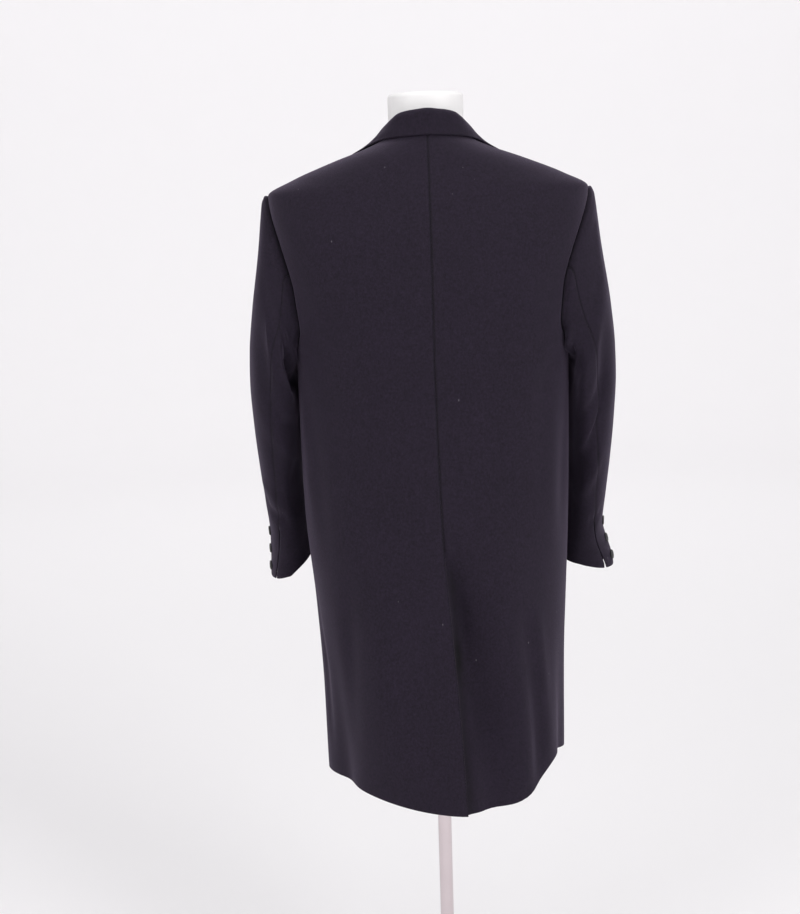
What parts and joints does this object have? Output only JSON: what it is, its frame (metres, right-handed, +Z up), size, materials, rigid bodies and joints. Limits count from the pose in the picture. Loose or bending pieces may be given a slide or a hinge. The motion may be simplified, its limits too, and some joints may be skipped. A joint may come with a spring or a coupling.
{
  "type": "overcoat on a dress form stand",
  "caption": "Knee-length single-breasted wool overcoat with notched lapels, two-piece sleeves and a back vent, worn by a limbless dress form on a pole stand.",
  "frame": {"origin": "middle of the floor plate's underside, on the pole's axis", "axes": "+Z up, -Y the way the coat's front faces, +X the wearer's left"},
  "size_m": [0.5727, 0.3933, 1.545],
  "materials": {
    "wool": "dark navy wool melton, brushed",
    "button": "dark horn, satin",
    "form_cover": "smooth off-white",
    "pole_chrome": "polished",
    "base_chrome": "polished"
  },
  "bodies": {
    "root": {"back_left": "wool", "back_right": "wool", "front_left": "wool", "front_right": "wool", "lapel_left": "wool", "lapel_right": "wool", "collar": "wool", "sleeve_top_left": "wool", "sleeve_under_left": "wool", "sleeve_top_right": "wool", "sleeve_under_right": "wool", "front_button_1": "button", "front_button_2": "button", "front_button_3": "button", "cuff_button_left_1": "button", "cuff_button_left_2": "button", "cuff_button_left_3": "button", "cuff_button_right_1": "button", "cuff_button_right_2": "button", "cuff_button_right_3": "button", "form_torso": "form_cover", "stand_pole": "pole_chrome", "stand_base": "base_chrome"}
  },
  "joints": []
}
